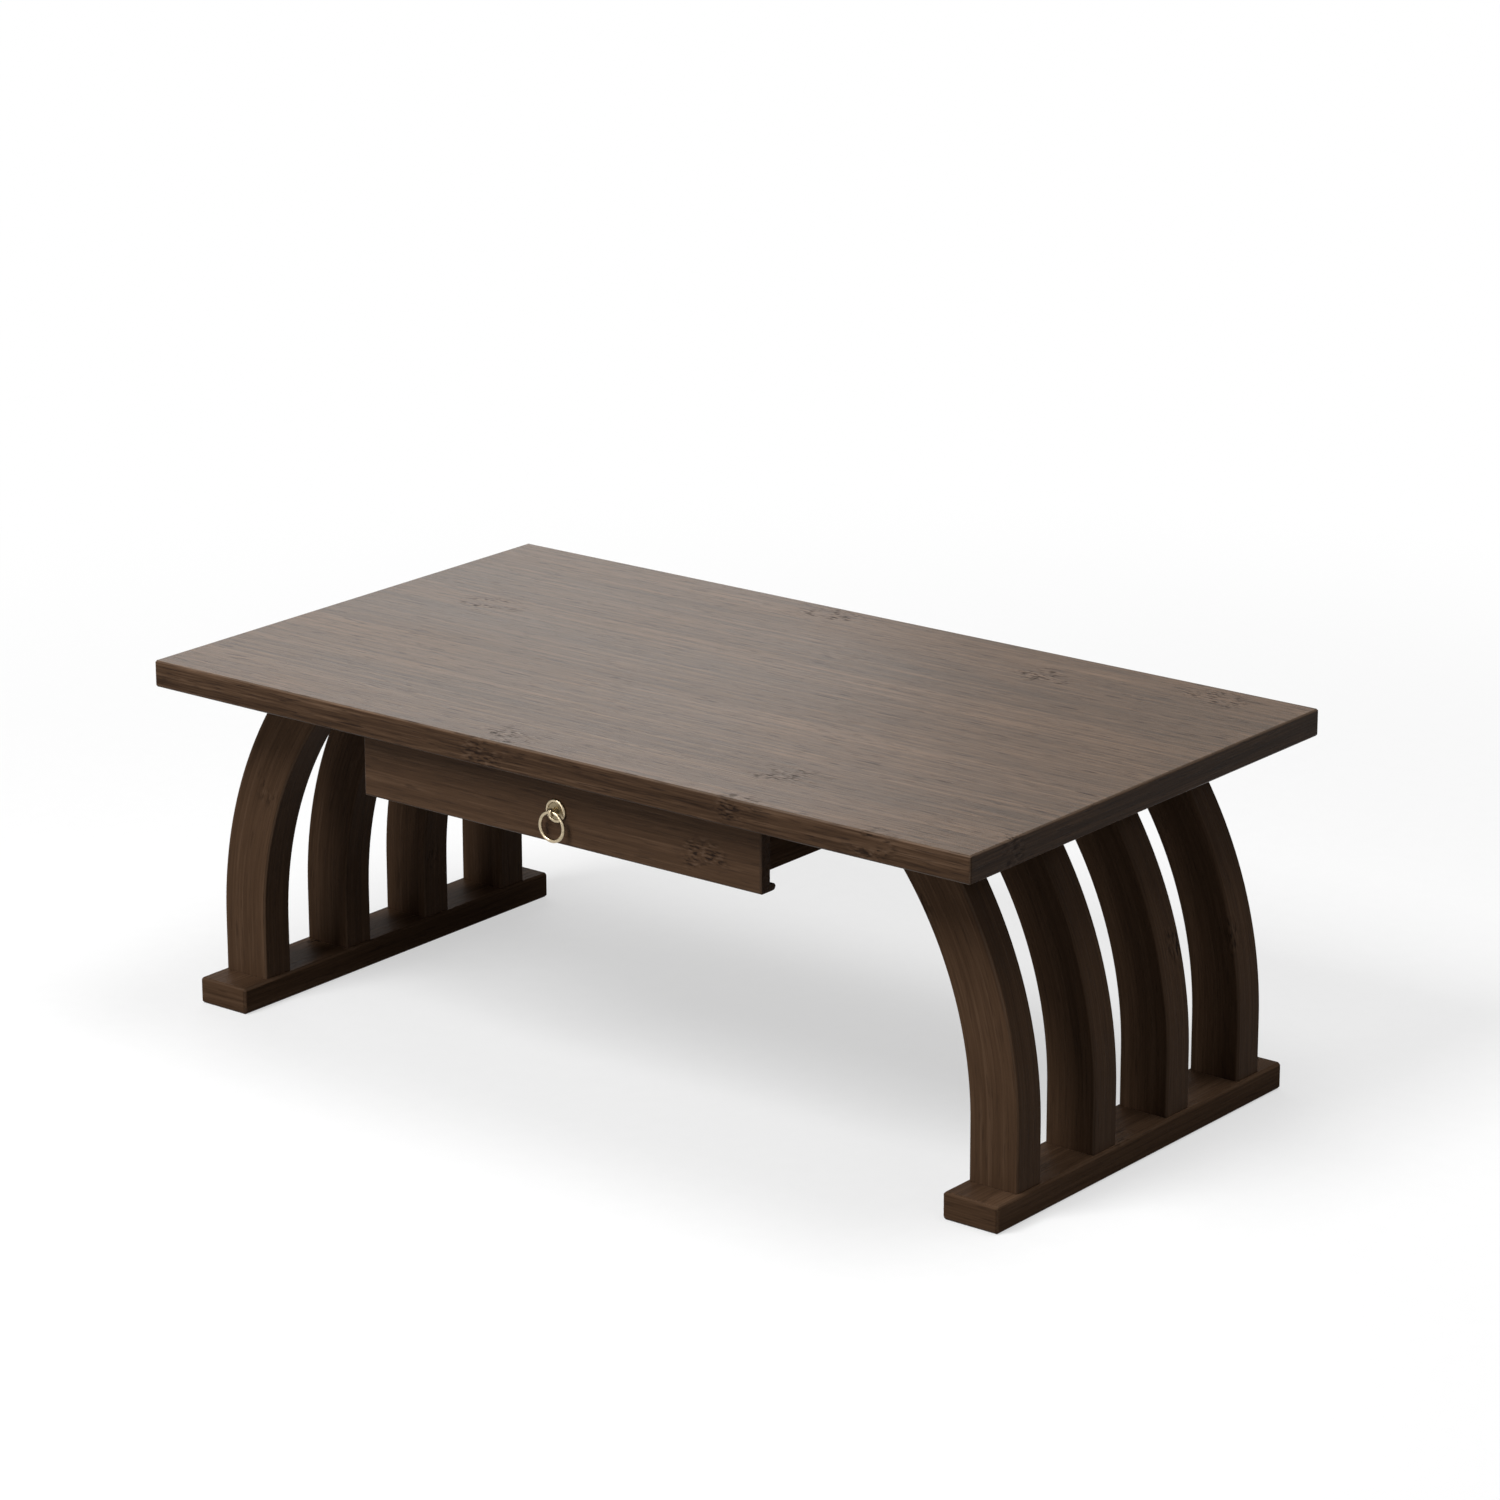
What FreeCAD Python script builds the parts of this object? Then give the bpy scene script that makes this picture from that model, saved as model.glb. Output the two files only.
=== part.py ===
import FreeCAD, Part
import math
import os

from FreeCAD import Vector

# Low table with bent legs and a drawer that hangs under the top.
# Millimetres. X runs along the length, Y to the back, Z up. The origin is on the floor under the centre.

# Top panel
top_length = 800.0
top_width = 455.0
top_thickness = 22.0
table_height = 300.0
top_corner_radius = 2.0
top_bevel = 1.4

# Foot rails, flush with the ends of the top
foot_length = 378.0
foot_width = 50.0
foot_height = 22.0
foot_bevel = 2.0

# Bent legs: upright above the foot, then an arc that leans in under the top
legs_per_end = 4
leg_pitch = 97.0
leg_thickness = 30.0
leg_width = 44.0
leg_straight = 45.0
leg_lean = 58.0
leg_bevel = 1.5
bend_overrun = 4.0

# Bearers that join the leg heads of each end
top_rail_height = 20.0
top_rail_margin = 3.0
top_rail_overhang = 5.0
top_rail_bevel = 1.5

# Stub tenons at both ends of the legs
tenon_shoulder = 6.0
tenon_fit = 0.1
mortise_floor = 9.0
mortise_end_gap = 1.0

# Bolts and threaded inserts that hold the bearers to the top
bolt_diameter = 6.0
bolt_head_diameter = 11.0
bolt_head_height = 3.3
bolt_head_clearance = 0.5
bolt_recess = 1.5
bolt_hole_clearance = 0.25
bolt_socket_width = 4.0
bolt_socket_depth = 2.0
bolt_engagement = 11.0
insert_diameter = 10.0
insert_length = 13.0

# Drawer front with a rounded lip behind its lower edge
front_length = 392.0
front_height = 52.5
front_thickness = 11.0
front_setback = 21.0
front_top_gap = 3.0
front_bevel = 1.2
lip_depth = 6.5
lip_height = 5.5

# Drawer box
side_length = 300.0
side_thickness = 10.0
side_top_drop = 5.0
side_lip_gap = 4.0
side_bevel = 1.0
back_thickness = 10.0
bottom_thickness = 5.0
bottom_rise = 6.0
bottom_housing = 5.0
panel_fit = 0.2

# Strips on the drawer sides and the grooved runners that carry them
strip_height = 10.0
strip_depth = 8.0
strip_end_gap = 6.0
strip_bevel = 0.8
slide_clearance = 0.5
drawer_side_gap = 1.0
drawer_close_gap = 0.5
runner_inset = 5.0
runner_length = 315.0
runner_web = 11.5
runner_ledge = 9.5
runner_bevel = 1.0

# Wood screws: diameter, head and what they bite into
runner_screw_diameter = 4.0
runner_screw_head = 7.6
runner_screw_head_height = 2.6
runner_screw_sink = 5.0
runner_screw_bite = 14.0
runner_screw_margin = 40.0
strip_screw_diameter = 3.0
strip_screw_head = 5.6
strip_screw_head_height = 2.0
strip_screw_sink = 2.6
strip_screw_bite = 7.0
strip_screw_margin = 30.0
bottom_screw_diameter = 3.0
bottom_screw_head = 6.0
bottom_screw_head_height = 2.0
bottom_screw_bite = 9.0
bottom_screw_margin = 40.0
screws_per_row = 3
screw_head_clearance = 0.4
fastener_gap = 0.05

# Dowel pins of the drawer corners
dowel_diameter = 5.0
dowel_in_front = 7.0
dowel_in_side = 12.0
dowel_in_back = 11.0
dowel_end_gap = 0.5
dowel_margin = 8.0
dowel_pitch = 12.0

# Ring pull
plate_diameter = 19.0
plate_thickness = 1.6
plate_edge_height = 0.8
plate_rim_height = 2.4
plate_rim_width = 3.0
eye_reach = 5.8
eye_radius = 3.4
eye_thickness = 3.2
eye_round = 0.9
eye_clearance = 0.35
eye_stem_diameter = 3.8
eye_collar_diameter = 6.4
eye_collar_height = 1.2
ring_diameter = 25.5
ring_wire = 2.8
pull_hole_clearance = 0.3
washer_diameter = 9.0
washer_thickness = 0.8
nut_width = 7.0
nut_height = 3.2
bolt_end_reach = 1.5

# Heights
underside_z = table_height - top_thickness
rail_z = underside_z - top_rail_height
front_top_z = underside_z - front_top_gap
front_bottom_z = front_top_z - front_height
side_top_z = front_top_z - side_top_drop
side_bottom_z = front_bottom_z + lip_height + side_lip_gap
bottom_z = side_bottom_z + bottom_rise
bottom_top_z = bottom_z + bottom_thickness
strip_z = (side_top_z + side_bottom_z) / 2
groove_half = strip_height / 2 + slide_clearance
runner_z = strip_z - groove_half - runner_ledge
pull_z = (front_top_z + front_bottom_z) / 2

# Leg curve of the right end: concentric arcs that start where the straight foot of the leg stops
foot_outer_x = top_length / 2
foot_inner_x = foot_outer_x - foot_width
leg_outer_x = foot_outer_x - (foot_width - leg_width) / 2
leg_inner_x = leg_outer_x - leg_width
bend_z = foot_height + leg_straight
bend_rise = rail_z - bend_z
outer_radius = (bend_rise ** 2 + leg_lean ** 2) / (2 * leg_lean)
inner_radius = outer_radius - leg_width
bend_centre_x = leg_outer_x - outer_radius
head_outer_x = leg_outer_x - leg_lean
head_inner_x = bend_centre_x + math.sqrt(inner_radius ** 2 - bend_rise ** 2)
head_x = (head_inner_x + head_outer_x) / 2
bend_sweep = math.degrees(math.asin(bend_rise / inner_radius)) + bend_overrun
leg_span = (legs_per_end - 1) * leg_pitch + leg_thickness
foot_tenon = foot_height - mortise_floor - mortise_end_gap
head_tenon = top_rail_height - mortise_floor - mortise_end_gap

# Drawer places across and along the table
front_face_y = front_setback - top_width / 2
front_back_y = front_face_y + front_thickness
runner_front_y = front_back_y + drawer_close_gap
runner_back_y = runner_front_y + runner_length
runner_outer_x = front_length / 2 - runner_inset
groove_depth = strip_depth - drawer_side_gap + slide_clearance
runner_inner_x = runner_outer_x - runner_web - groove_depth
side_outer_x = runner_inner_x - drawer_side_gap
side_inner_x = side_outer_x - side_thickness
strip_outer_x = side_outer_x + strip_depth
side_back_y = front_back_y + side_length
back_front_y = side_back_y - back_thickness
strip_front_y = front_back_y + strip_end_gap
strip_back_y = side_back_y - strip_end_gap
runner_screw_x = runner_outer_x - runner_web / 2
side_middle_x = (side_outer_x + side_inner_x) / 2
back_middle_y = side_back_y - back_thickness / 2

# Ring pull places
eye_y = front_face_y - eye_reach
ring_radius = (ring_diameter - ring_wire) / 2
eye_hole_radius = ring_wire / 2 + eye_clearance
pull_bolt_end_y = front_back_y + washer_thickness + nut_height + bolt_end_reach


def box(x_range, y_range, z_range):
    """A block between two values on each axis."""
    corner = Vector(x_range[0], y_range[0], z_range[0])
    size_x = x_range[1] - x_range[0]
    size_y = y_range[1] - y_range[0]
    size_z = z_range[1] - z_range[0]
    return Part.makeBox(size_x, size_y, size_z, corner)


def around(middle, width):
    """The two ends of a width laid evenly about a middle."""
    return (middle - width / 2, middle + width / 2)


def rod(diameter, start, end):
    """A round rod from one point to another."""
    axis = end - start
    return Part.makeCylinder(diameter / 2, axis.Length, start, axis)


def outline_face(points):
    """A flat face inside a closed run of straight edges."""
    return Part.Face(Part.makePolygon(points + [points[0]]))


def ease(shape, width, keep=lambda edge: True):
    """Take a narrow bevel off the edges that keep accepts."""
    return shape.makeChamfer(width, [edge for edge in shape.Edges if keep(edge)])


def round_off(shape, radius, keep):
    """Round the edges that keep accepts."""
    return shape.makeFillet(radius, [edge for edge in shape.Edges if keep(edge)])


def runs_along(edge, axis):
    """True for a straight edge along an axis."""
    first, last = edge.Vertexes[0].Point, edge.Vertexes[-1].Point
    return (last - first).Length > 0 and (last - first).cross(axis).Length < 1e-6


def mirrored(shape):
    """The same piece on the left half of the table."""
    return shape.mirror(Vector(0, 0, 0), Vector(1, 0, 0))


def row(low, high, count):
    """Evenly spaced places from low to high."""
    step = (high - low) / (count - 1)
    return [low + step * index for index in range(count)]


def leg_places():
    """Y of each leg of one end, front leg first."""
    half_span = leg_pitch * (legs_per_end - 1) / 2
    return row(-half_span, half_span, legs_per_end)


def bolt_places():
    """X and Y of the bolts in the gaps between the legs, both ends."""
    legs = leg_places()
    gaps = [(front + back) / 2 for front, back in zip(legs, legs[1:])]
    return [(end * head_x, y) for end in (-1, 1) for y in gaps]


def runner_screw_places():
    """X and Y of the screws of both runners."""
    places = row(runner_front_y + runner_screw_margin, runner_back_y - runner_screw_margin, screws_per_row)
    return [(end * runner_screw_x, y) for end in (-1, 1) for y in places]


def strip_screw_places():
    """Y of the screws of one strip."""
    return row(strip_front_y + strip_screw_margin, strip_back_y - strip_screw_margin, screws_per_row)


def bottom_screw_places():
    """X of the screws under the drawer back."""
    reach = side_inner_x - bottom_screw_margin
    return row(-reach, reach, screws_per_row)


def dowel_heights():
    """Z of the two dowels of a drawer corner."""
    upper = side_top_z - dowel_margin
    return (upper, upper - dowel_pitch)


def make_tabletop():
    slab = box(around(0, top_length), around(0, top_width), (underside_z, table_height))
    slab = round_off(slab, top_corner_radius, lambda edge: runs_along(edge, Vector(0, 0, 1)))
    slab = ease(slab, top_bevel, lambda edge: edge.BoundBox.ZLength < 1e-6)
    for x, y in bolt_places():
        seat = insert_diameter + 2 * fastener_gap
        slab = slab.cut(rod(seat, Vector(x, y, underside_z), Vector(x, y, underside_z + insert_length)))
    for x, y in runner_screw_places():
        pilot = runner_screw_diameter + 2 * fastener_gap
        tip = Vector(x, y, underside_z + runner_screw_bite)
        slab = slab.cut(rod(pilot, Vector(x, y, underside_z), tip))
    return slab


def tenon_ranges(x_range, y, fit):
    """X and Y ranges of a tenon inside the shoulders of a leg, or of its mortise with a fit."""
    width = x_range[1] - x_range[0] - 2 * tenon_shoulder + 2 * fit
    depth = leg_thickness - 2 * tenon_shoulder + 2 * fit
    return around((x_range[0] + x_range[1]) / 2, width), around(y, depth)


def make_right_leg(y):
    """Upright with eased edges, its section swung round the bend centre, cut level under the bearer."""
    upright = box((leg_inner_x, leg_outer_x), around(y, leg_thickness), (foot_height, bend_z))
    upright = ease(upright, leg_bevel, lambda edge: runs_along(edge, Vector(0, 0, 1)))
    section = max(upright.Faces, key=lambda face: face.CenterOfMass.z)
    bend = section.revolve(Vector(bend_centre_x, y, bend_z), Vector(0, -1, 0), bend_sweep)
    bend = bend.cut(box((0, foot_outer_x), around(y, 2 * leg_thickness), (rail_z, 2 * table_height)))
    foot_x, tenon_y = tenon_ranges((leg_inner_x, leg_outer_x), y, 0)
    foot_end = box(foot_x, tenon_y, (foot_height - foot_tenon, foot_height))
    top_x, tenon_y = tenon_ranges((head_inner_x, head_outer_x), y, 0)
    head_end = box(top_x, tenon_y, (rail_z, rail_z + head_tenon))
    return upright.fuse([bend, foot_end, head_end])


def make_right_foot_rail():
    rail = box((foot_inner_x, foot_outer_x), around(0, foot_length), (0, foot_height))
    rail = ease(rail, foot_bevel)
    for y in leg_places():
        mortise_x, mortise_y = tenon_ranges((leg_inner_x, leg_outer_x), y, tenon_fit)
        rail = rail.cut(box(mortise_x, mortise_y, (mortise_floor, foot_height)))
    return rail


def make_right_top_rail():
    width = (head_inner_x - top_rail_margin, head_outer_x + top_rail_margin)
    rail = box(width, around(0, leg_span + 2 * top_rail_overhang), (rail_z, underside_z))
    rail = ease(rail, top_rail_bevel, lambda edge: edge.BoundBox.ZMax < underside_z)
    for y in leg_places():
        mortise_x, mortise_y = tenon_ranges((head_inner_x, head_outer_x), y, tenon_fit)
        rail = rail.cut(box(mortise_x, mortise_y, (rail_z, underside_z - mortise_floor)))
    seat_z = rail_z + bolt_recess + bolt_head_height
    for x, y in bolt_places():
        low, seat, high = Vector(x, y, rail_z), Vector(x, y, seat_z), Vector(x, y, underside_z)
        rail = rail.cut(rod(bolt_head_diameter + 2 * bolt_head_clearance, low, seat))
        rail = rail.cut(rod(bolt_diameter + 2 * bolt_hole_clearance, seat, high))
    return rail


def hexagon(width, start, direction):
    """Six-sided bar of a given width across its flats."""
    corner = width / math.sqrt(3)
    points = [Vector(corner * math.cos(turn * math.pi / 3), corner * math.sin(turn * math.pi / 3), 0)
              for turn in range(6)]
    bar = outline_face(points).extrude(Vector(0, 0, direction.Length))
    bar.Placement = FreeCAD.Placement(start, FreeCAD.Rotation(Vector(0, 0, 1), direction))
    return bar


def make_frame_bolts():
    bolts = []
    for x, y in bolt_places():
        head = Vector(x, y, rail_z + bolt_recess)
        seat = head + Vector(0, 0, bolt_head_height)
        bolt = rod(bolt_head_diameter, head, seat)
        bolt = bolt.fuse(rod(bolt_diameter, seat, Vector(x, y, underside_z + bolt_engagement)))
        bolts.append(bolt.cut(hexagon(bolt_socket_width, head, Vector(0, 0, bolt_socket_depth))))
    return Part.makeCompound(bolts)


def make_frame_inserts():
    inserts = []
    for x, y in bolt_places():
        mouth, end = Vector(x, y, underside_z), Vector(x, y, underside_z + insert_length)
        insert = rod(insert_diameter, mouth, end)
        inserts.append(insert.cut(rod(bolt_diameter + 2 * fastener_gap, mouth, end)))
    return Part.makeCompound(inserts)


def wood_screw(diameter, head, head_height, length, seat, direction):
    """Screw with a flat round head: seat is the point under the head, direction the way it goes in."""
    shank = rod(diameter, seat, seat + direction * length)
    return shank.fuse(rod(head, seat - direction * head_height, seat))


def make_right_runner():
    runner = box((runner_inner_x, runner_outer_x), (runner_front_y, runner_back_y), (runner_z, underside_z))
    runner = ease(runner, runner_bevel, lambda edge: edge.BoundBox.ZMax < underside_z)
    groove_x = (runner_inner_x, runner_inner_x + groove_depth)
    groove_z = (strip_z - groove_half, strip_z + groove_half)
    runner = runner.cut(box(groove_x, (runner_front_y, runner_back_y), groove_z))
    seat_z = runner_z + runner_screw_sink
    for x, y in runner_screw_places():
        low, seat, high = Vector(x, y, runner_z), Vector(x, y, seat_z), Vector(x, y, underside_z)
        runner = runner.cut(rod(runner_screw_head + 2 * screw_head_clearance, low, seat))
        runner = runner.cut(rod(runner_screw_diameter + 2 * fastener_gap, seat, high))
    return runner


def make_runner_screws():
    seat_z = runner_z + runner_screw_sink
    length = underside_z + runner_screw_bite - seat_z
    return Part.makeCompound([
        wood_screw(runner_screw_diameter, runner_screw_head, runner_screw_head_height, length,
                  Vector(x, y, seat_z), Vector(0, 0, 1))
        for x, y in runner_screw_places()])


def make_drawer_front():
    lip_back_y = front_back_y + lip_depth
    lip_radius = lip_height / 2
    nose_y = lip_back_y - lip_radius
    lip_top_z = front_bottom_z + lip_height
    corners = [Vector(0, front_face_y, front_bottom_z), Vector(0, front_face_y, front_top_z),
               Vector(0, front_back_y, front_top_z), Vector(0, front_back_y, lip_top_z),
               Vector(0, nose_y, lip_top_z), Vector(0, nose_y, front_bottom_z)]
    edges = [Part.makeLine(start, end) for start, end in zip(corners, corners[1:5])]
    nose = Part.Arc(corners[4], Vector(0, lip_back_y, front_bottom_z + lip_radius), corners[5]).toShape()
    profile = Part.Face(Part.Wire(edges + [nose, Part.makeLine(corners[5], corners[0])]))
    profile.translate(Vector(-front_length / 2, 0, 0))
    front = profile.extrude(Vector(front_length, 0, 0))
    front = ease(front, front_bevel, lambda edge: edge.BoundBox.YMax < front_face_y + 1e-6)
    for end in (-1, 1):
        for z in dowel_heights():
            mouth = Vector(end * side_middle_x, front_back_y, z)
            hole_end = mouth - Vector(0, dowel_in_front, 0)
            front = front.cut(rod(dowel_diameter + 2 * fastener_gap, mouth, hole_end))
    housing_x = around(0, 2 * side_inner_x + 2 * bottom_housing)
    housing_z = (bottom_z, bottom_top_z + panel_fit)
    front = front.cut(box(housing_x, (front_back_y - bottom_housing, front_back_y), housing_z))
    pull_hole = rod(eye_stem_diameter + 2 * pull_hole_clearance,
                    Vector(0, front_face_y, pull_z), Vector(0, front_back_y, pull_z))
    return front.cut(pull_hole)


def make_drawer_right_side():
    side = box((side_inner_x, side_outer_x), (front_back_y, side_back_y), (side_bottom_z, side_top_z))
    side = ease(side, side_bevel,
                lambda edge: runs_along(edge, Vector(0, 1, 0)) and edge.BoundBox.ZMin > strip_z)
    housing_x = (side_inner_x, side_inner_x + bottom_housing)
    housing_z = (bottom_z, bottom_top_z + panel_fit)
    side = side.cut(box(housing_x, (front_back_y, side_back_y), housing_z))
    hole = dowel_diameter + 2 * fastener_gap
    for z in dowel_heights():
        mouth = Vector(side_middle_x, front_back_y, z)
        side = side.cut(rod(hole, mouth, mouth + Vector(0, dowel_in_side + dowel_end_gap, 0)))
        inner = Vector(side_inner_x, back_middle_y, z)
        side = side.cut(rod(hole, inner, inner + Vector(side_thickness, 0, 0)))
    for y in strip_screw_places():
        tip = Vector(side_outer_x - strip_screw_bite, y, strip_z)
        side = side.cut(rod(strip_screw_diameter + 2 * fastener_gap, Vector(side_outer_x, y, strip_z), tip))
    return side


def make_drawer_back():
    back = box(around(0, 2 * side_inner_x), (back_front_y, side_back_y), (bottom_top_z, side_top_z))
    back = ease(back, side_bevel,
                lambda edge: runs_along(edge, Vector(1, 0, 0)) and edge.BoundBox.ZMin > strip_z)
    for end in (-1, 1):
        for z in dowel_heights():
            mouth = Vector(end * side_inner_x, back_middle_y, z)
            hole_end = Vector(end * (side_inner_x - dowel_in_back), back_middle_y, z)
            back = back.cut(rod(dowel_diameter + 2 * fastener_gap, mouth, hole_end))
    for x in bottom_screw_places():
        mouth = Vector(x, back_middle_y, bottom_top_z)
        tip = Vector(x, back_middle_y, bottom_top_z + bottom_screw_bite)
        back = back.cut(rod(bottom_screw_diameter + 2 * fastener_gap, mouth, tip))
    return back


def make_drawer_bottom():
    width = 2 * (side_inner_x + bottom_housing - panel_fit)
    front_y = front_back_y - bottom_housing + panel_fit
    panel = box(around(0, width), (front_y, side_back_y), (bottom_z, bottom_top_z))
    for x in bottom_screw_places():
        hole = rod(bottom_screw_diameter + 2 * fastener_gap,
                   Vector(x, back_middle_y, bottom_z), Vector(x, back_middle_y, bottom_top_z))
        panel = panel.cut(hole)
    return panel


def make_drawer_bottom_screws():
    length = bottom_thickness + bottom_screw_bite
    return Part.makeCompound([
        wood_screw(bottom_screw_diameter, bottom_screw_head, bottom_screw_head_height, length,
                  Vector(x, back_middle_y, bottom_z), Vector(0, 0, 1))
        for x in bottom_screw_places()])


def make_drawer_right_strip():
    strip = box((side_outer_x, strip_outer_x), (strip_front_y, strip_back_y), around(strip_z, strip_height))
    strip = ease(strip, strip_bevel, lambda edge: edge.BoundBox.XMin > side_outer_x)
    seat_x = strip_outer_x - strip_screw_sink
    for y in strip_screw_places():
        outer, seat = Vector(strip_outer_x, y, strip_z), Vector(seat_x, y, strip_z)
        strip = strip.cut(rod(strip_screw_head + 2 * screw_head_clearance, outer, seat))
        hole_end = Vector(side_outer_x, y, strip_z)
        strip = strip.cut(rod(strip_screw_diameter + 2 * fastener_gap, seat, hole_end))
    return strip


def make_strip_screws():
    seat_x = strip_outer_x - strip_screw_sink
    length = seat_x - side_outer_x + strip_screw_bite
    return Part.makeCompound([
        wood_screw(strip_screw_diameter, strip_screw_head, strip_screw_head_height, length,
                  Vector(end * seat_x, y, strip_z), Vector(-end, 0, 0))
        for end in (-1, 1) for y in strip_screw_places()])


def make_drawer_dowels():
    dowels = []
    for end in (-1, 1):
        for z in dowel_heights():
            front_x = end * side_middle_x
            dowels.append(rod(dowel_diameter, Vector(front_x, front_back_y - dowel_in_front, z),
                              Vector(front_x, front_back_y + dowel_in_side, z)))
            back_x = end * (side_inner_x - dowel_in_back)
            dowels.append(rod(dowel_diameter, Vector(back_x, back_middle_y, z),
                              Vector(end * side_outer_x, back_middle_y, z)))
    return Part.makeCompound(dowels)


def make_pull_plate():
    """Round plate with a raised, rounded rim and a hole for the eye bolt."""
    radius = plate_diameter / 2
    hole = eye_stem_diameter / 2 + fastener_gap
    inner_rim = radius - plate_rim_width
    inside = [Vector(inner_rim, 0, plate_thickness), Vector(hole, 0, plate_thickness),
              Vector(hole, 0, 0), Vector(radius, 0, 0), Vector(radius, 0, plate_edge_height)]
    crown = Vector(radius - plate_rim_width / 2, 0, plate_rim_height)
    lines = [Part.makeLine(start, end) for start, end in zip(inside, inside[1:])]
    rim = Part.Arc(inside[-1], crown, inside[0]).toShape()
    plate = Part.Face(Part.Wire(lines + [rim])).revolve(Vector(0, 0, 0), Vector(0, 0, 1), 360)
    plate.Placement = FreeCAD.Placement(Vector(0, front_face_y, pull_z),
                                        FreeCAD.Rotation(Vector(0, 0, 1), Vector(0, -1, 0)))
    return plate


def make_pull_eye_bolt():
    """Bolt with a rounded eye at its front and a collar that seats on the plate."""
    half = Vector(eye_thickness / 2, 0, 0)
    centre = Vector(0, eye_y, pull_z)
    eye = round_off(rod(2 * eye_radius, centre - half, centre + half), eye_round,
                    lambda edge: edge.BoundBox.XLength < 1e-6)
    stem = rod(eye_stem_diameter, centre, Vector(0, pull_bolt_end_y, pull_z))
    seat = Vector(0, front_face_y - plate_thickness, pull_z)
    collar = rod(eye_collar_diameter, seat - Vector(0, eye_collar_height, 0), seat)
    bolt = eye.fuse([stem, collar])
    return bolt.cut(rod(2 * eye_hole_radius, centre - 2 * half, centre + 2 * half))


def make_pull_washer():
    inner, outer = Vector(0, front_back_y, pull_z), Vector(0, front_back_y + washer_thickness, pull_z)
    return rod(washer_diameter, inner, outer).cut(rod(eye_stem_diameter + 2 * fastener_gap, inner, outer))


def make_pull_nut():
    start = Vector(0, front_back_y + washer_thickness, pull_z)
    nut = hexagon(nut_width, start, Vector(0, nut_height, 0))
    return nut.cut(rod(eye_stem_diameter + 2 * fastener_gap, start, start + Vector(0, nut_height, 0)))


def make_pull_ring():
    return Part.makeTorus(ring_radius, ring_wire / 2, Vector(0, eye_y, pull_z - ring_radius), Vector(0, 1, 0))


def make_pieces():
    """Every piece by its name."""
    pieces = {"tabletop": make_tabletop()}
    for number, y in enumerate(leg_places(), 1):
        pieces[f"right_leg_{number}"] = make_right_leg(y)
    pieces["right_foot_rail"] = make_right_foot_rail()
    pieces["right_top_rail"] = make_right_top_rail()
    pieces["right_runner"] = make_right_runner()
    pieces["drawer_right_side"] = make_drawer_right_side()
    pieces["drawer_right_strip"] = make_drawer_right_strip()
    for name in [name for name in pieces if "right" in name]:
        pieces[name.replace("right", "left")] = mirrored(pieces[name])
    pieces["frame_bolts"] = make_frame_bolts()
    pieces["frame_inserts"] = make_frame_inserts()
    pieces["runner_screws"] = make_runner_screws()
    pieces["drawer_front"] = make_drawer_front()
    pieces["drawer_back"] = make_drawer_back()
    pieces["drawer_bottom"] = make_drawer_bottom()
    pieces["drawer_bottom_screws"] = make_drawer_bottom_screws()
    pieces["strip_screws"] = make_strip_screws()
    pieces["drawer_dowels"] = make_drawer_dowels()
    pieces["pull_plate"] = make_pull_plate()
    pieces["pull_eye_bolt"] = make_pull_eye_bolt()
    pieces["pull_washer"] = make_pull_washer()
    pieces["pull_nut"] = make_pull_nut()
    pieces["pull_ring"] = make_pull_ring()
    return pieces


os.makedirs("parts", exist_ok=True)
for piece_name, piece in make_pieces().items():
    piece.exportStep(f"parts/{piece_name}.step")
    print(piece_name, len(piece.Solids), piece.isValid(), round(piece.Volume, 1))
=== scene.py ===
import math

import bpy
from mathutils import Matrix, Vector


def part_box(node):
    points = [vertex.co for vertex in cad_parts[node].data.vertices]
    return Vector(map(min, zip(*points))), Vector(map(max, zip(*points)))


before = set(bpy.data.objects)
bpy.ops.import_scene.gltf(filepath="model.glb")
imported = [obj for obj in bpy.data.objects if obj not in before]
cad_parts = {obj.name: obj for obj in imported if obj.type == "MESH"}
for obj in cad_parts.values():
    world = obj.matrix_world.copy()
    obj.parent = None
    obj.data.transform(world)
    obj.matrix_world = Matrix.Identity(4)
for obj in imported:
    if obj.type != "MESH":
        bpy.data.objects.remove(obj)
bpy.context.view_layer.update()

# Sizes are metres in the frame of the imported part: X along the top, Y to the back, Z up.
# Colours are linear red, green and blue.

# Camera, with angles in degrees, and lens and sensor in millimetres
camera_place = (2.41819, -3.02600, 1.45064)
camera_heading = 38.367
camera_tilt = 17.277
camera_roll = -0.130
camera_lens = 124.216
camera_sensor = 36.0
camera_reach = 60.0

# Lights: place, point that it is aimed at, side of its square, and watts
lights = {
    "key": ((-0.5, -2.0, 2.5), (0.0, 0.0, 0.15), 1.2, 84.0),
    "fill": ((-0.5, -3.0, 0.8), (0.0, 0.0, 0.15), 1.2, 17.0),
    "overhead": ((0.5, 0.25, 2.4), (0.15, 0.05, 0.3), 1.2, 32.0),
    "sheen": ((-1.99, 1.46, 1.04), (-0.3, -0.1, 0.3), 1.8, 18.0),
    "side": ((2.2, -0.6, 1.2), (0.37, 0.0, 0.15), 1.0, 3.0),
}

# Surroundings and floor
white = (1.0, 1.0, 1.0)
surroundings_light = 0.12
floor_half = 12.0
floor_tones = ((0.80, 0.80, 0.80), (0.84, 0.84, 0.84))
floor_speckle = 60
floor_bounce = (0.22, 0.22, 0.22)
fade_radii = (0.5, 1.8)
fade_shares = (0.55, 1.0)

# Bend of the legs, as the solids have it
leg_outer_x = 0.397
leg_width = 0.044
bend_z = 0.067
bend_rise = 0.191
bend_lean = 0.058
bend_radius = (bend_rise ** 2 + bend_lean ** 2) / (2 * bend_lean)
bend_centre_x = leg_outer_x - bend_radius
leg_middle_radius = bend_radius - leg_width / 2
leg_seed_steps = (3, 5)

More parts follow.
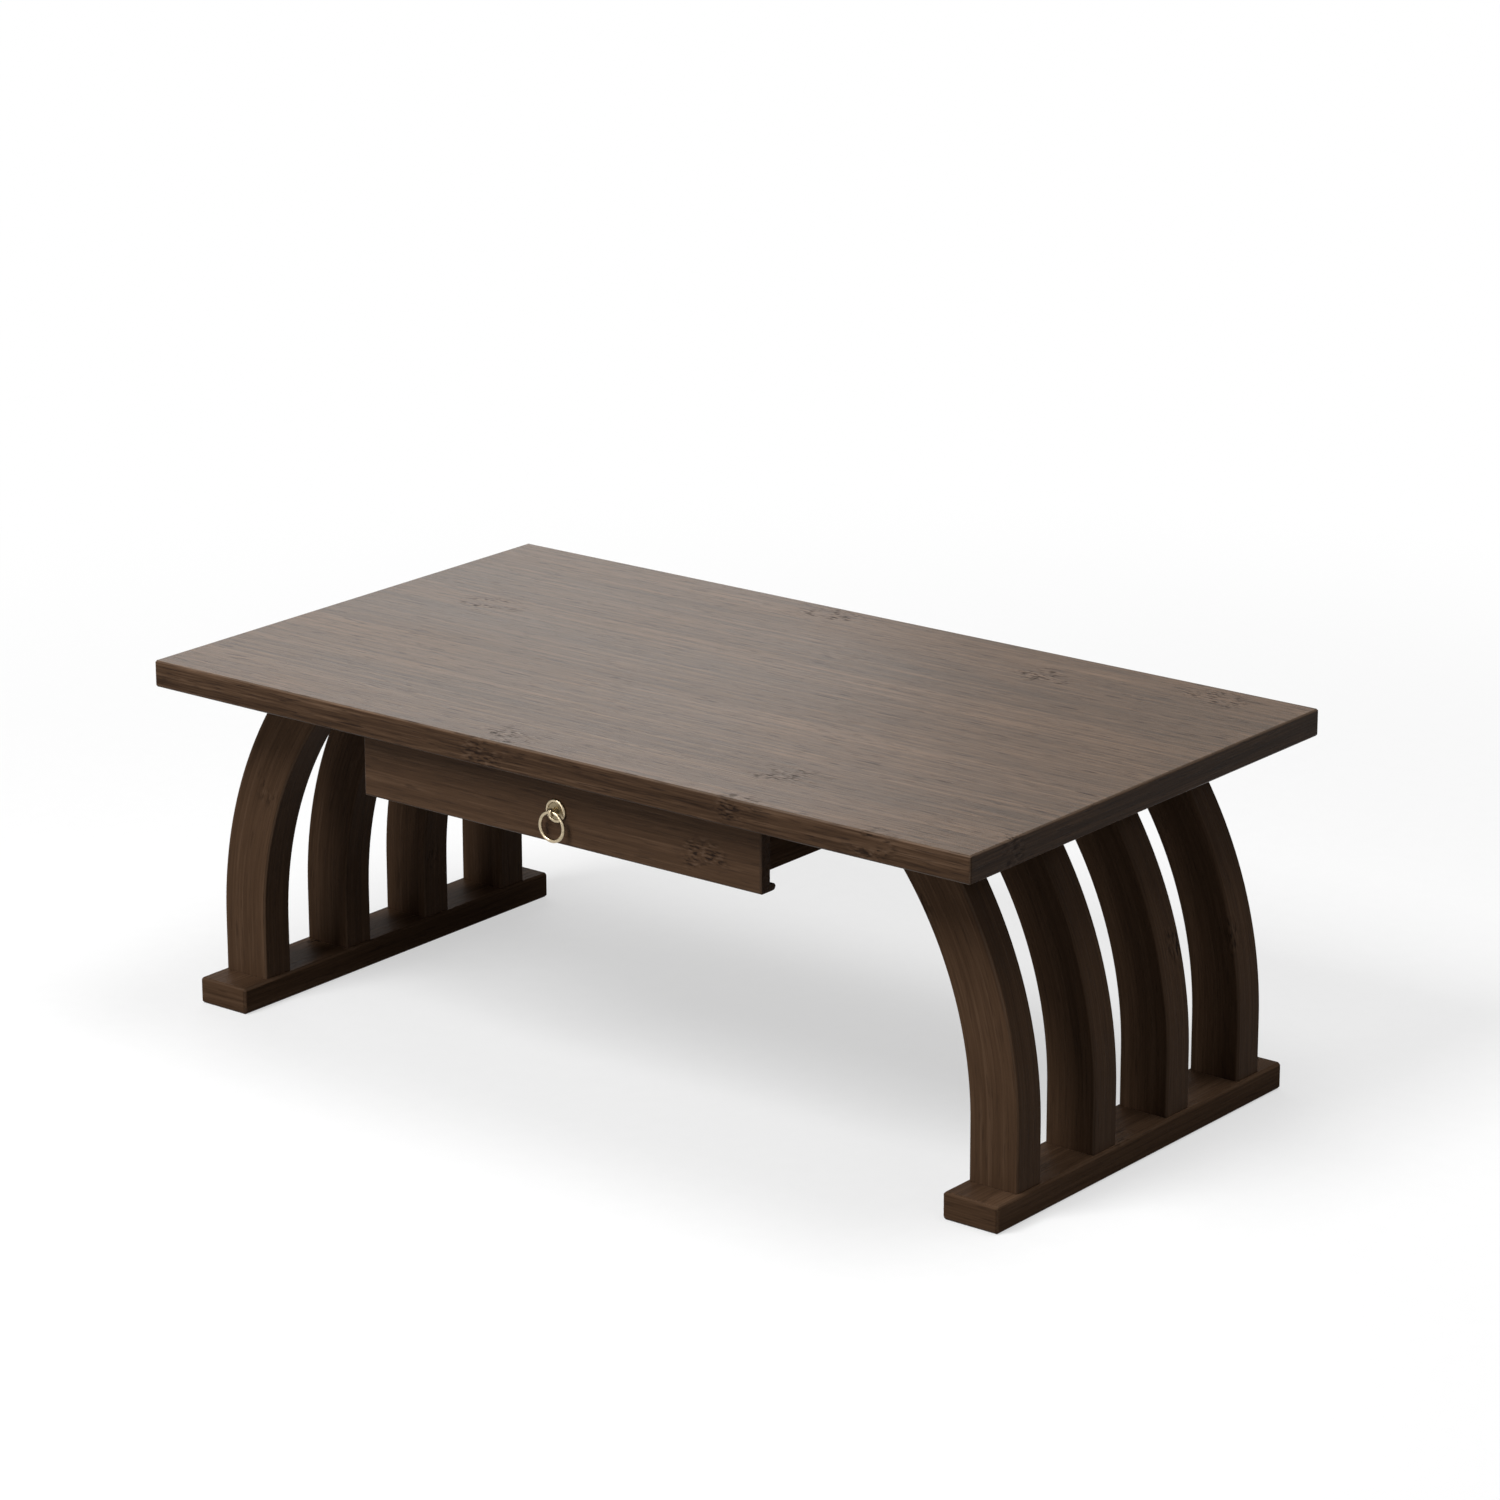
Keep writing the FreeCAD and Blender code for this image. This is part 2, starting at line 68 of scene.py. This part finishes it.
# Bamboo: strips glued side by side in layers
strip_width = 0.021
layer_height = 0.0074
strip_seed = 0.5

# Bamboo: turns per metre of each noise, along the fibres and across them
fibre_turns = (16, 620)
streak_turns = (3.2, 210)
cloud_turns = (3.5, 9)
pore_turns = (40, 760)
fleck_turns = (30, 330)
torn_turns = (48, 76)
dash_turns = (130, 480)

# Bamboo: how far each noise moves the tone, and the noise levels between which a mark fades in
fibre_span = 1.60
streak_span = 1.30
cloud_span = 0.40
strip_span = 0.20
pore_levels = (0.56, 0.68)
fleck_levels = (0.62, 0.72)
torn_levels = (0.40, 0.56)
dash_levels = (0.50, 0.62)
halo_levels = (0.46, 0.36)

# Bamboo: tones, and the share of each one that covers what is under it
dark_tone = (0.014, 0.007, 0.004)
middle_tone = (0.066, 0.037, 0.021)
pale_tone = (0.148, 0.090, 0.056)
# The pale grey tone below is a painted sheen over the top face, standing in for the lacquer's reflection.
painted_sheen_tone = (0.25, 0.208, 0.165)
pore_tone = (0.022, 0.013, 0.009)
pore_share = 0.8
fleck_tone = (0.020, 0.011, 0.007)
fleck_share = 1.1
dash_tone = (0.012, 0.007, 0.005)
dash_share = 0.92
halo_tone = (0.16, 0.105, 0.072)
halo_share = 0.30
# Paler line along the edges: partly wear, partly a painted highlight on the eased arrises.
wear_and_highlight_tone = (0.150, 0.108, 0.080)
wear_and_highlight_share = 0.34
wear_and_highlight_width = 0.0018
wear_and_highlight_ragged = 0.0024

# Bamboo: unevenness of the lacquer's roughness, and relief
fibre_rough = 0.16
cloud_rough = 0.12
dash_rough = 0.20
pore_relief = 0.5
fibre_depth = 0.0003
fibre_strength = 0.5
mark_depth = 0.0002
mark_strength = 0.35

# Knuckles of the bamboo stems: size, where they fade, and how they are scattered
knuckle_length = 0.029
knuckle_width = 0.020
knuckle_rim = (1.0, 0.45)
knuckle_cell = 0.045
knuckle_chance = 0.62
board_knuckle_gap = 0.30
leg_knuckle_gap = 0.22

# Knuckles that show, as X and Y on the top's face, X and Z on a front, and Y and Z on the right end
top_face_knuckles = ((0.182, -0.158), (0.324, 0.200), (0.185, 0.171), (-0.054, 0.205), (-0.048, -0.209),
                     (-0.296, 0.060))
top_front_knuckles = ((-0.055, 0.290), (0.190, 0.292), (0.312, 0.291))
top_end_knuckles = ((-0.176, 0.290),)
drawer_front_knuckles = ((0.1419, 0.2408),)
face_knuckle_scale = 1.35
front_knuckle_scale = 1.0

# Finish of the boards
top_finish = {"stain": 0.95, "shine": 0.34, "gloss": 1.11, "contrast": 0.82}
# Share of dark tone painted over the top's end faces: a painted shade.
top_end_painted_shade = 0.40
# Share of pale grey painted over the top face: a painted sheen.
top_face_painted_sheen = 0.13
rail_finish = {"shine": 0.48, "gloss": 1.05, "contrast": 0.4}
leg_finish = {"gloss": 1.07, "contrast": 0.30}
drawer_front_finish = {"contrast": 0.42}
drawer_finish = {"stain": 1.15, "shine": 0.55}
dowel_finish = {"stain": 4.0, "shine": 0.6}

# Least part of a face's normal along an axis for the face to count as turned that way
turned_share = 0.7

# Brass of the ring pull, with patina in spots and in the plate's hollow, inside its rim
brass_tone = (0.46, 0.38, 0.26)
patina_tone = (0.23, 0.187, 0.115)
plate_rim = 0.003
hollow_rim_shares = (0.6, 1.1)
hollow_depths = (-0.0009, 0.0001)
patina_scale = 420
patina_levels = (0.46, 0.66)
patina_share = 0.45
brass_rough = 0.21
patina_rough = 0.18
brushed_scale = 2600
brushed_rough = 0.10
brushed_depth = 0.00004

# Zinc of the screws and bolts
zinc_tone = (0.58, 0.58, 0.57)
bloom_tone = (0.40, 0.41, 0.43)
bloom_scale = 380
bloom_levels = (0.35, 0.7)
bloom_rough = 0.25
zinc_rough = 0.20
zinc_grain_scale = 2400
zinc_grain_depth = 0.00003
metal_strength = 0.25

# Soft edges of the boards
edge_round = 0.0003
edge_steps = 3
edge_angle = math.radians(25)
weld_distance = 1e-6
normal_weight = 100


class Graph:
    """Short ways to add and join the nodes of one material or world."""

    def __init__(self, owner):
        owner.use_nodes = True
        self.owner = owner
        self.tree = owner.node_tree
        self.tree.nodes.clear()

    def put(self, socket, value):
        if isinstance(value, bpy.types.NodeSocket):
            self.tree.links.new(value, socket)
        elif socket.type == "RGBA":
            socket.default_value = (*value, 1.0)
        else:
            socket.default_value = value

    def add(self, kind, inputs=None, **settings):
        node = self.tree.nodes.new("ShaderNode" + kind)
        for name, value in settings.items():
            setattr(node, name, value)
        for name, value in (inputs or {}).items():
            self.put(node.inputs[name], value)
        return node

    def math(self, operation, *values):
        return self.add("Math", dict(enumerate(values)), operation=operation).outputs[0]

    def total(self, first, *others):
        for value in others:
            first = self.math("ADD", first, value)
        return first

    def product(self, first, second):
        return self.math("MULTIPLY", first, second)

    def centred(self, noise, span):
        """A noise from 0 to 1 as a swing of that span to both sides of 0."""
        return self.math("MULTIPLY_ADD", noise, span, -span / 2)

    def split(self, vector):
        return tuple(self.add("SeparateXYZ", {"Vector": vector}).outputs)

    def join(self, x, y, z):
        return self.add("CombineXYZ", {"X": x, "Y": y, "Z": z}).outputs[0]

    def noise(self, vector, scale=1.0, detail=2.0, roughness=0.5):
        values = {"Vector": vector, "Scale": scale, "Detail": detail, "Roughness": roughness}
        return self.add("TexNoise", values).outputs["Fac"]

    def spread(self, value, low, high, to_low=0.0, to_high=1.0):
        values = {"Value": value, "From Min": low, "From Max": high, "To Min": to_low, "To Max": to_high}
        return self.add("MapRange", values, interpolation_type="SMOOTHSTEP").outputs[0]

    def length(self, *parts):
        node = self.add("VectorMath", {"Vector": self.join(*parts)}, operation="LENGTH")
        return node.outputs["Value"]

    def mix(self, factor, first, second):
        return self.add("Mix", {0: factor, 6: first, 7: second}, data_type="RGBA").outputs[2]

    def choose(self, factor, first, second):
        return self.add("Mix", {0: factor, 4: first, 5: second}, data_type="VECTOR").outputs[1]

    def bump(self, height, distance, strength, normal=None):
        values = {"Height": height, "Distance": distance, "Strength": strength}
        if normal is not None:
            values["Normal"] = normal
        return self.add("Bump", values).outputs[0]

    def finish(self, shader, output="OutputMaterial"):
        shown = self.add(output)
        self.tree.links.new(shader.outputs[0], shown.inputs["Surface"])
        return self.owner


def new_material(name):
    return Graph(bpy.data.materials.new(name))


def object_place(graph):
    """X, Y and Z of the piece itself, so that the grain moves with it."""
    return graph.split(graph.add("TexCoord").outputs["Object"])


def stretched(graph, grain, along, across):
    """Grain coordinates at so many turns per metre along the fibres and across them."""
    turns = (along, across, across)
    return graph.join(*(graph.product(part, turn) for part, turn in zip(grain, turns)))


def patches(graph, grain, turns, levels):
    """1 in the patches where a stretched noise is above its levels, 0 elsewhere."""
    return graph.spread(graph.noise(stretched(graph, grain, *turns)), *levels)


def gap_to_side(graph, place, low, high):
    """Distance inward from the nearer one of two opposite sides."""
    offset = graph.math("SUBTRACT", place, (low + high) / 2)
    return graph.math("SUBTRACT", (high - low) / 2, graph.math("ABSOLUTE", offset))


def box_edge(graph, place, node):
    """Distance from the nearest edge of a board's box: the middle one of its three gaps."""
    low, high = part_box(node)
    first, second, third = [gap_to_side(graph, *sides) for sides in zip(place, low, high)]
    nearer = graph.math("MINIMUM", first, second)
    farther = graph.math("MAXIMUM", first, second)
    return graph.math("MAXIMUM", nearer, graph.math("MINIMUM", farther, third))


def knuckle(graph, offsets, scale=1.0):
    """1 near a knuckle that was planed flat, 0 away from it, from the offsets to its centre."""
    sizes = (knuckle_length, knuckle_width, knuckle_width)
    parts = [graph.math("DIVIDE", offset, size * scale) for offset, size in zip(offsets, sizes)]
    return graph.spread(graph.length(*parts), *knuckle_rim)


def placed_knuckles(graph, place, marks):
    """Knuckles at chosen centres, each with its scale."""
    shown = 0.0
    for centre, scale in marks:
        offsets = [graph.math("SUBTRACT", here, middle) for here, middle in zip(place, centre)]
        shown = graph.math("MAXIMUM", shown, knuckle(graph, offsets, scale))
    return shown


def scattered_knuckles(graph, grain, gap):
    """Knuckles all over a piece, one to a cell in the cells that have one."""
    cell = (gap, knuckle_cell, knuckle_cell)
    cells = graph.join(*(graph.math("DIVIDE", part, size) for part, size in zip(grain, cell)))
    voronoi = graph.add("TexVoronoi", {"Vector": cells, "Scale": 1.0}, feature="F1")
    away = graph.add("VectorMath", {0: cells, 1: voronoi.outputs["Position"]}, operation="SUBTRACT")
    offsets = [graph.product(part, size) for part, size in zip(graph.split(away.outputs[0]), cell)]
    chosen = graph.math("GREATER_THAN", graph.split(voronoi.outputs["Color"])[0], knuckle_chance)
    return graph.product(knuckle(graph, offsets), chosen)


def strip_chance(graph, grain):
    """A chance value for each glued strip."""
    _, side, depth = grain
    strip = graph.math("FLOOR", graph.math("DIVIDE", side, strip_width))
    layer = graph.math("FLOOR", graph.math("DIVIDE", depth, layer_height))
    return graph.add("TexWhiteNoise", {"Vector": graph.join(strip, layer, strip_seed)}).outputs["Value"]


def stained(graph, tone, stain):
    """Colour of the stain from its dark tone at 0 to its pale one at 1."""
    ramp = graph.add("ValToRGB", {"Fac": tone})
    ramp.color_ramp.elements.new(0.5)
    tones = ((0.0, dark_tone), (0.5, middle_tone), (1.0, pale_tone))
    for element, (position, colour) in zip(ramp.color_ramp.elements, tones):
        element.position = position
        element.color = (*(channel * stain for channel in colour), 1.0)
    return ramp.outputs["Color"]


def grain_swing(graph, grain, fibre, streak, cloud):
    """How far the tone swings from the middle one, to dark or to pale."""
    strip = strip_chance(graph, grain)
    swings = ((fibre, fibre_span), (streak, streak_span), (cloud, cloud_span), (strip, strip_span))
    return graph.total(*(graph.centred(noise, span) for noise, span in swings))


def knuckle_marks(graph, grain, knuckles):
    """Dark dashes of torn fibre in the knuckles, and the pale halo between the dashes."""
    torn = graph.product(knuckles, patches(graph, grain, torn_turns, torn_levels))
    noise = graph.noise(stretched(graph, grain, *dash_turns))
    dashes = graph.product(graph.spread(noise, *dash_levels), torn)
    halo = graph.product(graph.spread(noise, *halo_levels), torn)
    return dashes, halo


def bamboo(graph, grain, edge, knuckles, stain=1.0, shine=0.38, gloss=1.12, contrast=0.5,
           painted_end_shade=0.0, painted_sheen=0.0):
    """Dark stained bamboo with a satin lacquer. The end faces can get a painted shade, and faces turned
    up a painted sheen of pale grey.
    """
    fibre = graph.noise(stretched(graph, grain, *fibre_turns), detail=4, roughness=0.6)
    streak = graph.noise(stretched(graph, grain, *streak_turns), detail=3)
    cloud = graph.noise(stretched(graph, grain, *cloud_turns))
    pores = patches(graph, grain, pore_turns, pore_levels)
    flecks = patches(graph, grain, fleck_turns, fleck_levels)
    dashes, halo = knuckle_marks(graph, grain, knuckles)

    swing = grain_swing(graph, grain, fibre, streak, cloud)
    colour = stained(graph, graph.math("MULTIPLY_ADD", swing, contrast, 0.5), stain)
    # Painted sheen: pale grey mixed over faces turned up.
    colour = graph.mix(painted_sheen, colour, painted_sheen_tone)
    colour = graph.mix(graph.product(pores, pore_share * contrast), colour, pore_tone)
    colour = graph.mix(graph.product(flecks, fleck_share * contrast), colour, fleck_tone)
    colour = graph.mix(graph.product(dashes, dash_share), colour, dash_tone)
    colour = graph.mix(graph.product(halo, halo_share), colour, halo_tone)
    # Painted shade: the end faces are darkened toward the dark tone.
    colour = graph.mix(painted_end_shade, colour, dark_tone)
    # Paler edges: partly wear, partly a painted highlight along the arrises.
    wear_and_highlight = graph.spread(graph.total(edge, graph.centred(streak, wear_and_highlight_ragged)), wear_and_highlight_width, 0.0)
    colour = graph.mix(graph.product(wear_and_highlight, wear_and_highlight_share), colour, wear_and_highlight_tone)

    rough = graph.total(graph.centred(fibre, fibre_rough), shine, graph.centred(cloud, cloud_rough),
                        graph.product(dashes, dash_rough))
    relief = graph.math("SUBTRACT", fibre, graph.product(pores, pore_relief))
    normal = graph.bump(relief, fibre_depth, fibre_strength)
    normal = graph.bump(graph.math("SUBTRACT", halo, dashes), mark_depth, mark_strength, normal)
    return graph.add("BsdfPrincipled", {
        "Base Color": colour, "Roughness": rough, "Normal": normal, "IOR": gloss})


def board_material(node, along, finish, marks=(), capped_ends=False, end_painted_shade=0.0, face_painted_sheen=0.0):
    """Bamboo for a straight board whose fibres run along X or Y. Capped ends have them across."""
    graph = new_material("bamboo_" + node)
    place = object_place(graph)
    x, y, z = place
    run, side, depth = {"X": (x, y, z), "Y": (y, x, z)}[along]
    normal = dict(zip("XYZ", graph.split(graph.add("TexCoord").outputs["Normal"])))
    grain = (run, side, depth)
    painted_end_shade = 0.0
    if capped_ends:
        at_end = graph.math("GREATER_THAN", graph.math("ABSOLUTE", normal[along]), turned_share)
        across = graph.join(side, run, depth)
        grain = graph.split(graph.choose(at_end, graph.join(run, side, depth), across))
        # Faces turned toward the ends get a painted shade.
        painted_end_shade = graph.product(at_end, end_painted_shade)
    # Faces turned up get a painted sheen of pale grey.
    painted_sheen = graph.product(graph.math("GREATER_THAN", normal["Z"], turned_share), face_painted_sheen)
    if marks:
        knuckles = placed_knuckles(graph, place, marks)
    else:
        knuckles = scattered_knuckles(graph, grain, board_knuckle_gap)
    edge = box_edge(graph, place, node)
    return graph.finish(bamboo(graph, grain, edge, knuckles, painted_end_shade=painted_end_shade, painted_sheen=painted_sheen, **finish))


def leg_material(node):
    """Bamboo whose fibres follow the bend of a leg."""
    graph = new_material("bamboo_" + node)
    x, y, z = object_place(graph)
    low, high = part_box(node)
    out = graph.math("SUBTRACT", graph.math("ABSOLUTE", x), bend_centre_x)
    above = graph.math("SUBTRACT", z, bend_z)
    up = graph.math("MAXIMUM", above, 0.0)
    radius = graph.length(out, up, 0.0)
    turned = graph.product(graph.math("ARCTAN2", up, out), leg_middle_radius)
    run = graph.total(turned, graph.math("MINIMUM", above, 0.0))
    step_x, step_y = leg_seed_steps
    seed = (low.x + high.x) * step_x + (low.y + high.y) / 2 * step_y
    grain = (graph.total(run, seed), graph.total(y, seed), radius)
    side_gap = gap_to_side(graph, y, low.y, high.y)
    face_gap = gap_to_side(graph, radius, bend_radius - leg_width, bend_radius)
    edge = graph.math("MAXIMUM", side_gap, face_gap)
    knuckles = scattered_knuckles(graph, grain, leg_knuckle_gap)
    return graph.finish(bamboo(graph, grain, edge, knuckles, **leg_finish))


def metal(graph, colour, rough, normal):
    return graph.finish(graph.add("BsdfPrincipled", {
        "Base Color": colour, "Metallic": 1.0, "Roughness": rough, "Normal": normal}))


def brass_material(name):
    """Antique brass: pale worn metal with an olive patina in the plate's hollow and in spots."""
    graph = new_material(name)
    x, y, z = object_place(graph)
    place = graph.join(x, y, z)
    low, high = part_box("pull_plate")
    plate_radius = (high.z - low.z) / 2
    from_centre = graph.length(x, graph.math("SUBTRACT", z, (low.z + high.z) / 2), 0.0)
    hollow = graph.spread(from_centre, *(plate_radius - share * plate_rim for share in hollow_rim_shares))
    behind = graph.spread(y, *(low.y + depth for depth in hollow_depths))
    spots = graph.spread(graph.noise(place, patina_scale, detail=4), *patina_levels)
    patina = graph.math("MAXIMUM", graph.product(hollow, behind), graph.product(spots, patina_share))
    brushed = graph.noise(place, brushed_scale)
    rough = graph.math("MULTIPLY_ADD", patina, patina_rough, brass_rough)
    rough = graph.total(rough, graph.centred(brushed, brushed_rough))
    normal = graph.bump(brushed, brushed_depth, metal_strength)
    return metal(graph, graph.mix(patina, brass_tone, patina_tone), rough, normal)


def steel_material(name):
    """Zinc plated steel with a faint bloom."""
    graph = new_material(name)
    place = graph.join(*object_place(graph))
    bloom = graph.noise(place, bloom_scale, detail=4)
    colour = graph.mix(graph.spread(bloom, *bloom_levels), zinc_tone, bloom_tone)
    rough = graph.math("MULTIPLY_ADD", bloom, bloom_rough, zinc_rough)
    normal = graph.bump(graph.noise(place, zinc_grain_scale), zinc_grain_depth, metal_strength)
    return metal(graph, colour, rough, normal)


def edge_softener():
    """Joins the faces of a solid, so that its edges can be rounded and shaded as one skin."""
    group = bpy.data.node_groups.new("joined_faces", "GeometryNodeTree")
    group.interface.new_socket("Geometry", in_out="INPUT", socket_type="NodeSocketGeometry")
    group.interface.new_socket("Geometry", in_out="OUTPUT", socket_type="NodeSocketGeometry")
    start = group.nodes.new("NodeGroupInput")
    weld = group.nodes.new("GeometryNodeMergeByDistance")
    weld.inputs["Distance"].default_value = weld_distance
    smooth = group.nodes.new("GeometryNodeSetShadeSmooth")
    end = group.nodes.new("NodeGroupOutput")
    for first, second in ((start, weld), (weld, smooth), (smooth, end)):
        group.links.new(first.outputs[0], second.inputs[0])
    return group


def soften(piece, joined_faces):
    """Round the edges of a board a little."""
    joiner = piece.modifiers.new("joined", "NODES")
    joiner.node_group = joined_faces
    bevel = piece.modifiers.new("edges", "BEVEL")
    bevel.width = edge_round
    bevel.segments = edge_steps
    bevel.limit_method = "ANGLE"
    bevel.angle_limit = edge_angle
    bevel.use_clamp_overlap = False
    normals = piece.modifiers.new("normals", "WEIGHTED_NORMAL")
    normals.weight = normal_weight


def paint(node, material):
    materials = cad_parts[node].data.materials
    materials.clear()
    materials.append(material)


def dress_top():
    low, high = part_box("tabletop")
    marks = [((x, y, high.z), face_knuckle_scale) for x, y in top_face_knuckles]
    marks += [((x, low.y, z), front_knuckle_scale) for x, z in top_front_knuckles]
    marks += [((high.x, y, z), front_knuckle_scale) for y, z in top_end_knuckles]
    paint("tabletop", board_material("tabletop", "X", top_finish, marks, capped_ends=True,
                                     end_painted_shade=top_end_painted_shade, face_painted_sheen=top_face_painted_sheen))


def dress_ends():
    for end in ("left", "right"):
        for piece in ("foot_rail", "top_rail", "runner"):
            node = f"{end}_{piece}"
            paint(node, board_material(node, "Y", rail_finish, capped_ends=True))
        for number in (1, 2, 3, 4):
            node = f"{end}_leg_{number}"
            paint(node, leg_material(node))


def dress_drawer():
    low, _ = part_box("drawer_front")
    marks = [((x, low.y, z), front_knuckle_scale) for x, z in drawer_front_knuckles]
    paint("drawer_front", board_material("drawer_front", "X", drawer_front_finish, marks))
    for node in ("drawer_left_side", "drawer_left_strip", "drawer_right_side", "drawer_right_strip"):
        paint(node, board_material(node, "Y", drawer_finish))
    for node in ("drawer_back", "drawer_bottom"):
        paint(node, board_material(node, "X", drawer_finish))
    paint("drawer_dowels", board_material("drawer_dowels", "Y", dowel_finish))


def dress_metal():
    brass = brass_material("antique_brass_worn")
    for node in ("pull_plate", "pull_eye_bolt", "pull_ring", "pull_washer", "pull_nut"):
        paint(node, brass)
    steel = steel_material("zinc_plate")
    for node in ("frame_bolts", "frame_inserts", "runner_screws", "strip_screws", "drawer_bottom_screws"):
        paint(node, steel)


def soften_boards():
    joined_faces = edge_softener()
    for name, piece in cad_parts.items():
        if "leg" in name or "rail" in name or name in ("tabletop", "drawer_front"):
            soften(piece, joined_faces)


def background_rays(graph):
    """1 for rays from the camera, and for those seen in gloss or glass."""
    path = graph.add("LightPath")
    seen = graph.math("MAXIMUM", path.outputs["Is Camera Ray"], path.outputs["Is Glossy Ray"])
    return graph.math("MAXIMUM", seen, path.outputs["Is Transmission Ray"])


def floor_material():
    """White where it is seen, with the shadow of the table, and a dim bounce for the rest."""
    graph = new_material("floor_white")
    x, y, z = object_place(graph)
    paper = graph.mix(graph.noise(graph.join(x, y, z), floor_speckle, detail=3), *floor_tones)
    matt = graph.add("BsdfDiffuse", {"Color": paper})
    glow = graph.add("Emission", {"Color": white, "Strength": 1.0})
    fade = graph.spread(graph.length(x, y, 0.0), *fade_radii, *fade_shares)
    shown = graph.add("MixShader", {0: fade, 1: matt.outputs[0], 2: glow.outputs[0]})
    dim = graph.add("BsdfDiffuse", {"Color": floor_bounce})
    return graph.finish(graph.add("MixShader", {
        0: background_rays(graph), 1: dim.outputs[0], 2: shown.outputs[0]}))


def make_floor():
    mesh = bpy.data.meshes.new("floor")
    corners = [(-floor_half, -floor_half, 0), (floor_half, -floor_half, 0),
               (floor_half, floor_half, 0), (-floor_half, floor_half, 0)]
    mesh.from_pydata(corners, [], [(0, 1, 2, 3)])
    mesh.materials.append(floor_material())
    floor = bpy.data.objects.new("floor", mesh)
    bpy.context.scene.collection.objects.link(floor)


def make_world():
    """Even white surroundings, plain white where they are seen."""
    graph = Graph(bpy.data.worlds.new("studio"))
    strength = graph.math("MAXIMUM", background_rays(graph), surroundings_light)
    back = graph.add("Background", {"Color": white, "Strength": strength})
    bpy.context.scene.world = graph.finish(back, "OutputWorld")


def area_light(name, place, target, size, power):
    """A square soft light aimed at a point."""
    data = bpy.data.lights.new(name, "AREA")
    data.shape = "SQUARE"
    data.size = size
    data.energy = power
    lamp = bpy.data.objects.new(name, data)
    lamp.location = place
    lamp.rotation_euler = (Vector(target) - Vector(place)).to_track_quat("-Z", "Y").to_euler()
    bpy.context.scene.collection.objects.link(lamp)


def make_camera():
    data = bpy.data.cameras.new("camera")
    data.lens = camera_lens
    data.sensor_width = camera_sensor
    data.clip_end = camera_reach
    camera = bpy.data.objects.new("camera", data)
    turn = (Matrix.Rotation(math.radians(camera_heading), 3, "Z")
            @ Matrix.Rotation(math.radians(90 - camera_tilt), 3, "X")
            @ Matrix.Rotation(math.radians(camera_roll), 3, "Z"))
    camera.location = camera_place
    camera.rotation_euler = turn.to_euler()
    bpy.context.scene.collection.objects.link(camera)
    bpy.context.scene.camera = camera


dress_top()
dress_ends()
dress_drawer()
dress_metal()
soften_boards()
make_floor()
make_world()
for light, values in lights.items():
    area_light(light, *values)
make_camera()
bpy.context.scene.view_settings.view_transform = "Standard"
